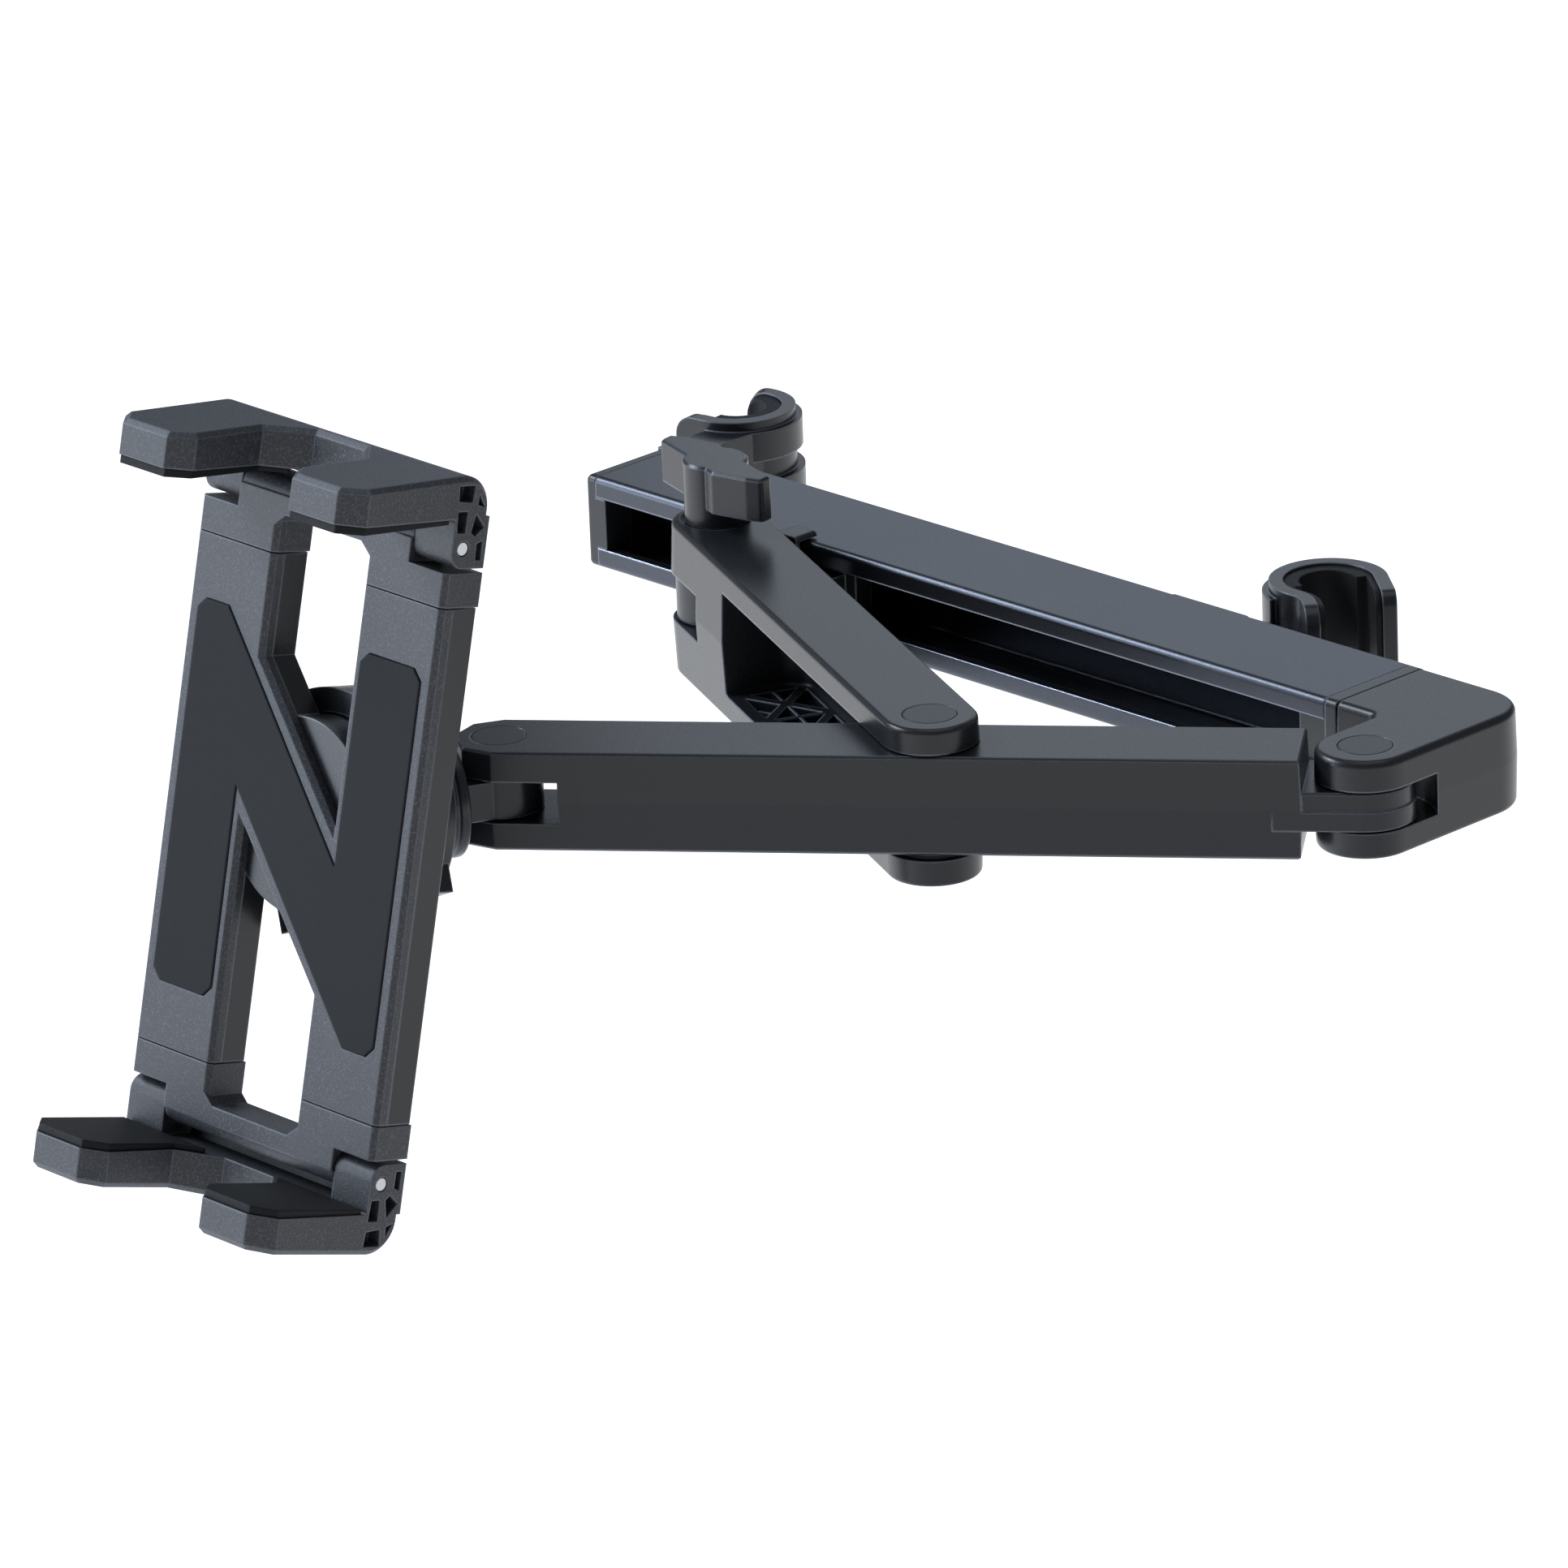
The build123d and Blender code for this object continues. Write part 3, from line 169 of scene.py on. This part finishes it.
def linear(code):
    """An sRGB hex colour as linear red, green, blue and alpha."""
    parts = [int(code[i:i + 2], 16) / 255 for i in (1, 3, 5)]
    return [p / 12.92 if p <= 0.04045 else ((p + 0.055) / 1.055) ** 2.4 for p in parts] + [1.0]


def tint(base, factor, offset=0.0):
    """The base colour times a factor, with alpha."""
    return [min(1.0, c * factor + offset) for c in base[:3]] + [1.0]


def add(tree, kind, settings=None, **links):
    """One shader node: its settings by name, and its inputs as values or as sockets to link.

    An input is named with _ for each space, or as i and its number.
    """
    item = tree.nodes.new(kind)
    for name, value in (settings or {}).items():
        setattr(item, name, value)
    for name, value in links.items():
        numbered = name[0] == "i" and name[1:].isdigit()
        key = int(name[1:]) if numbered else name.replace("_", " ")
        if isinstance(value, bpy.types.NodeSocket):
            tree.links.new(value, item.inputs[key])
        else:
            item.inputs[key].default_value = value
    return item


def noise(tree, place, width, **inputs):
    """Noise whose features are about as wide as width, in metres."""
    item = add(tree, "ShaderNodeTexNoise", Vector=place, Scale=1.0 / width, **inputs)
    return item.outputs[0]


def remap(tree, value, low, high, to_low, to_high):
    """A value that goes from to_low to to_high as another goes from low to high."""
    item = add(tree, "ShaderNodeMapRange", i0=value, i1=low, i2=high, i3=to_low, i4=to_high)
    return item.outputs[0]


def blend(tree, share, first, second):
    """A colour that goes from the first to the second as share goes from 0 to 1."""
    item = add(tree, "ShaderNodeMix", {"data_type": "RGBA"}, i0=share, i6=first, i7=second)
    return item.outputs[2]


def blank(name):
    """A new material without nodes, and its tree."""
    material = bpy.data.materials.new(name)
    material.use_nodes = True
    material.node_tree.nodes.clear()
    return material, material.node_tree


def rounded_edges(tree, radius):
    """The normal as if edges were rounded, and its cosine to the true one: 1 on flat faces."""
    rounded = add(tree, "ShaderNodeBevel", {"samples": 6}, Radius=radius).outputs[0]
    true = add(tree, "ShaderNodeNewGeometry").outputs["Normal"]
    cosine = add(tree, "ShaderNodeVectorMath", {"operation": "DOT_PRODUCT"}, i0=rounded, i1=true)
    return rounded, cosine.outputs["Value"]


def surface(name, base, rough, grain, grain_depth, edge, edge_highlight_lift,
            metallic=0.0, specular=0.5, crest_glint=0.0):
    """A finish with tone patches, fine bump, uneven gloss, a painted highlight on the edges and,
    for a nonzero crest glint, painted glints on the crests of the grain.
    """
    material, tree = blank(name)
    place = add(tree, "ShaderNodeTexCoord").outputs["Object"]
    patches = noise(tree, place, PATCH_WIDTH, Detail=3.0)
    fine = noise(tree, place, grain, Detail=2.5, Roughness=0.55)
    normal, flatness = rounded_edges(tree, edge)
    edge_highlight_mask = remap(tree, flatness, COSINE_EDGE, COSINE_FACE, 1.0, 0.0)
    tone = blend(tree, patches, tint(base, PATCH_DARK), tint(base, PATCH_LIGHT))
    # Painted glints: the crests of the grain are lifted towards a lighter copy of the base colour
    if crest_glint:
        crest_glint_mask = remap(tree, fine, CREST_FROM, CREST_TO, 0.0, crest_glint)
        tone = blend(tree, crest_glint_mask, tone, tint(base, CREST_GLINT_LIFT))
    # Painted highlight: the edges take a lighter copy of the base colour
    colour = blend(tree, edge_highlight_mask, tone, tint(base, edge_highlight_lift, EDGE_HIGHLIGHT_OFFSET))
    gloss = remap(
        tree, fine, NOISE_LOW, NOISE_HIGH, rough - GLOSS_SPREAD, rough + GLOSS_SPREAD)
    bump = add(tree, "ShaderNodeBump", Strength=grain_depth, Distance=GRAIN_HEIGHT,
               Height=fine, Normal=normal)
    shader = add(tree, "ShaderNodeBsdfPrincipled", Base_Color=colour, Metallic=metallic,
                 Roughness=gloss, Normal=bump.outputs[0], Specular_IOR_Level=specular)
    add(tree, "ShaderNodeOutputMaterial", Surface=shader.outputs[0])
    return material


def dress(names, material):
    """Give CAD nodes a finish."""
    for name in names:
        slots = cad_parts[name].data.materials
        if not slots:
            slots.append(material)
        for i in range(len(slots)):
            slots[i] = material


def piece(name, mesh, material, body):
    """Turn a bmesh into an object, which rides on a body where one is given."""
    bmesh.ops.recalc_face_normals(mesh, faces=mesh.faces)
    data = bpy.data.meshes.new(name)
    mesh.to_mesh(data)
    mesh.free()
    data.materials.append(material)
    item = bpy.data.objects.new(name, data)
    bpy.context.scene.collection.objects.link(item)
    if body:
        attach(item, body)
    return item


class HOLDER_OT_rail(bpy.types.Operator):
    """Black anodised finish of the aluminium rail"""

    bl_idname = "holder.rail"
    bl_label = "Finish the rail"

    def execute(self, context):
        look = context.scene.holder_finish
        # Blasted and anodised aluminium: dark, half gloss, with an even fine grain; the lips are
        # bright from the glint box and from a painted edge highlight
        metal = surface(
            "black anodised aluminium", look.metal, rough=0.31, grain=0.30 * MM,
            grain_depth=0.05, edge=look.edge_radius, edge_highlight_lift=5.0, metallic=0.9)
        dress(ANODISED, metal)
        return {"FINISHED"}


class HOLDER_OT_mouldings(bpy.types.Operator):
    """Satin moulded plastic of the arm, link, elbow, hooks and clamp back"""

    bl_idname = "holder.mouldings"
    bl_label = "Finish the mouldings"

    def execute(self, context):
        look = context.scene.holder_finish
        # Injection moulded nylon: satin, slightly blue black, with a painted highlight on the edges
        satin = surface(
            "satin moulded nylon", look.plastic, rough=0.30, grain=0.30 * MM,
            grain_depth=0.08, edge=look.edge_radius, edge_highlight_lift=14.0)
        dress(MOULDED, satin)
        # The round caps of the pins: a little duller, and with a much weaker painted edge highlight
        smooth = surface(
            "smooth nylon cap", look.plastic, rough=0.36, grain=0.30 * MM,
            grain_depth=0.06, edge=look.edge_radius, edge_highlight_lift=2.2)
        dress(CAPS, smooth)
        return {"FINISHED"}


class HOLDER_OT_clamp(bpy.types.Operator):
    """Sand textured plastic of the clamp's front, ends and claws"""

    bl_idname = "holder.clamp"
    bl_label = "Finish the clamp"

    def execute(self, context):
        look = context.scene.holder_finish
        # Spark eroded mould texture: a fine sand that breaks the highlights up, with painted glints
        # on the grain crests and a painted edge highlight
        sand = surface(
            "sand textured nylon", look.sand, rough=0.50, grain=look.grain,
            grain_depth=0.95, edge=look.edge_radius, edge_highlight_lift=4.5, specular=0.6, crest_glint=0.85)
        dress(GRAINED, sand)
        return {"FINISHED"}


class HOLDER_OT_soft_parts(bpy.types.Operator):
    """Matt rubber of the pads and of the hook liners"""

    bl_idname = "holder.soft_parts"
    bl_label = "Finish the rubber"

    def execute(self, context):
        look = context.scene.holder_finish
        # Moulded silicone rubber: hardly any gloss, very dark
        rubber = surface(
            "moulded silicone rubber", look.rubber, rough=0.62, grain=0.5 * MM,
            grain_depth=0.15, edge=look.edge_radius, edge_highlight_lift=1.3, specular=0.3)
        dress(RUBBER, rubber)
        # The flat pad is rubber too, smoother and a little greyer
        pad = surface(
            "soft pad rubber", look.pad, rough=0.66, grain=0.35 * MM,
            grain_depth=0.10, edge=look.edge_radius, edge_highlight_lift=1.6, specular=0.18)
        dress(PAD, pad)
        return {"FINISHED"}


class HOLDER_OT_small_metal(bpy.types.Operator):
    """Bright steel of the hinge pins and screws, and the pale bearing cup"""

    bl_idname = "holder.small_metal"
    bl_label = "Finish the pins"

    def execute(self, context):
        # Turned stainless steel: bright, with a fine even grain
        steel = surface(
            "turned stainless steel", linear("#c9cacd"), rough=0.28, grain=0.25 * MM,
            grain_depth=0.10, edge=0.15 * MM, edge_highlight_lift=1.0, metallic=1.0)
        dress(STEEL, steel)
        # Acetal, a slippery pale plastic, for the hidden cup
        cup = surface(
            "acetal bearing plastic", linear("#d6d3cc"), rough=0.35, grain=0.4 * MM,
            grain_depth=0.05, edge=0.2 * MM, edge_highlight_lift=1.0)
        dress(BEARING, cup)
        return {"FINISHED"}


def lip(turn):
    """A low wall along a claw's root, which closes the slit beside the hinge.

    turn is the angle about the clamp's depth axis: 0 for the upper claw, pi for the lower.
    """
    mesh = bmesh.new()
    rows = [
        [mesh.verts.new((x * MM, y * MM, z * MM)) for y, z in LIP_SECTION]
        for x in (-LIP_HALF_LENGTH, LIP_HALF_LENGTH)]
    for row in rows:
        mesh.faces.new(row)
    for i in range(len(LIP_SECTION)):
        j = (i + 1) % len(LIP_SECTION)
        mesh.faces.new((rows[0][i], rows[0][j], rows[1][j], rows[1][i]))
    bmesh.ops.recalc_face_normals(mesh, faces=mesh.faces)
    bmesh.ops.bevel(
        mesh, geom=mesh.edges[:], offset=LIP_EDGE, affect="EDGES", segments=2, profile=0.5,
        material=-1)
    place = CLAMP_FRAME @ Matrix.Rotation(turn, 4, "Y")
    bmesh.ops.transform(mesh, matrix=place, verts=mesh.verts)
    return mesh


class HOLDER_OT_lips(bpy.types.Operator):
    """The walls at the roots of the two claws"""

    bl_idname = "holder.lips"
    bl_label = "Add the claw lips"

    def execute(self, context):
        look = context.scene.holder_finish
        # The claws' textured plastic, less sandy, with the plain plastic's darker colour as painted
        # shade inside the hinge
        hinge_shade_nylon = surface(
            "textured nylon with painted hinge shade", look.plastic, rough=0.48, grain=look.grain,
            grain_depth=0.40, edge=LIP_EDGE, edge_highlight_lift=1.5, specular=0.4)
        piece("upper_claw_lip", lip(0.0), hinge_shade_nylon, "upper_claw")
        piece("lower_claw_lip", lip(math.pi), hinge_shade_nylon, "lower_claw")
        return {"FINISHED"}


def set_camera(scene, lens):
    """The camera where it was when the photograph was taken."""
    data = bpy.data.cameras.new("camera")
    data.lens = lens
    data.sensor_width = SENSOR_WIDTH
    data.clip_end = CLIP_END
    camera = bpy.data.objects.new("camera", data)
    scene.collection.objects.link(camera)
    up = CAMERA_BACK.cross(CAMERA_RIGHT)
    turn = Matrix((CAMERA_RIGHT, up, CAMERA_BACK)).transposed().to_4x4()
    camera.matrix_world = Matrix.Translation(CAMERA_AT) @ turn
    scene.camera = camera


def set_sky(scene):
    """Weak even light from all round."""
    world = bpy.data.worlds.new("studio")
    world.use_nodes = True
    sky = world.node_tree.nodes["Background"]
    sky.inputs[0].default_value = SKY_COLOUR
    sky.inputs[1].default_value = SKY_STRENGTH
    scene.world = world
    scene.view_settings.view_transform = "Standard"


def white_paper(drop):
    """White paper that glows, less so near the dim spot."""
    paper, tree = blank("white studio paper")
    place = add(tree, "ShaderNodeTexCoord").outputs["Object"]
    fibre = noise(tree, place, 2 * MM, Detail=2.0)
    bump = add(tree, "ShaderNodeBump", Strength=0.03, Distance=0.1 * MM, Height=fibre)
    far = add(tree, "ShaderNodeVectorMath", {"operation": "DISTANCE"},
              i0=place, i1=(*DIM_SPOT, -drop)).outputs["Value"]
    glow = remap(tree, far, DIM_WITHIN, FULL_BEYOND, GLOW_DIM, GLOW_FULL)
    shader = add(tree, "ShaderNodeBsdfPrincipled", Base_Color=linear("#fafafa"), Roughness=0.9,
                 Normal=bump.outputs[0], Emission_Color=(1, 1, 1, 1), Emission_Strength=glow)
    add(tree, "ShaderNodeOutputMaterial", Surface=shader.outputs[0])
    return paper


def soft_box(name, place, aim, size, power):
    """A rectangular light that points at a spot and isn't seen by the camera."""
    data = bpy.data.lights.new(name, "AREA")
    data.shape = "RECTANGLE"
    data.size, data.size_y = size
    data.energy = power
    data.color = BOX_COLOUR
    item = bpy.data.objects.new(name, data)
    bpy.context.scene.collection.objects.link(item)
    item.location = place
    item.rotation_euler = (Vector(aim) - Vector(place)).to_track_quat("-Z", "Y").to_euler()
    item.visible_camera = False


class HOLDER_OT_studio(bpy.types.Operator):
    """White floor, soft light and the camera"""

    bl_idname = "holder.studio"
    bl_label = "Set up the studio"

    def execute(self, context):
        scene = context.scene
        studio = scene.holder_studio
        set_camera(scene, studio.lens)
        set_sky(scene)

        sheet = bmesh.new()
        bmesh.ops.create_circle(
            sheet, cap_ends=True, segments=64, radius=PAPER_RADIUS,
            matrix=Matrix.Translation((MIDDLE.x, MIDDLE.y, -studio.drop)))
        floor = piece("floor", sheet, white_paper(studio.drop), None)

        for name, place, aim, size, power in SOFT_BOXES:
            soft_box(name, place, aim, size, power)
        return {"FINISHED"}


STEPS = (
    HOLDER_OT_rail, HOLDER_OT_mouldings, HOLDER_OT_clamp, HOLDER_OT_soft_parts,
    HOLDER_OT_small_metal, HOLDER_OT_lips, HOLDER_OT_studio,
)


class HOLDER_PT_panel(bpy.types.Panel):
    """All the steps, in order"""

    bl_idname = "HOLDER_PT_panel"
    bl_label = "Tablet holder"
    bl_space_type = "VIEW_3D"
    bl_region_type = "UI"
    bl_category = "Holder"

    def draw(self, context):
        for group in (context.scene.holder_finish, context.scene.holder_studio):
            for name in group.bl_rna.properties.keys():
                if name not in ("rna_type", "name"):
                    self.layout.prop(group, name)
        for step in STEPS:
            self.layout.operator(step.bl_idname)


CLASSES = (HolderFinish, HolderStudio) + STEPS + (HOLDER_PT_panel,)


def register():
    for item in CLASSES:
        bpy.utils.register_class(item)
    bpy.types.Scene.holder_finish = PointerProperty(type=HolderFinish)
    bpy.types.Scene.holder_studio = PointerProperty(type=HolderStudio)


def unregister():
    del bpy.types.Scene.holder_studio
    del bpy.types.Scene.holder_finish
    for item in reversed(CLASSES):
        bpy.utils.unregister_class(item)


def main():
    register()
    for step in STEPS:
        group, name = step.bl_idname.split(".")
        if getattr(getattr(bpy.ops, group), name)() != {"FINISHED"}:
            raise RuntimeError(f"{step.bl_label} did not finish")


if __name__ == "__main__":
    main()
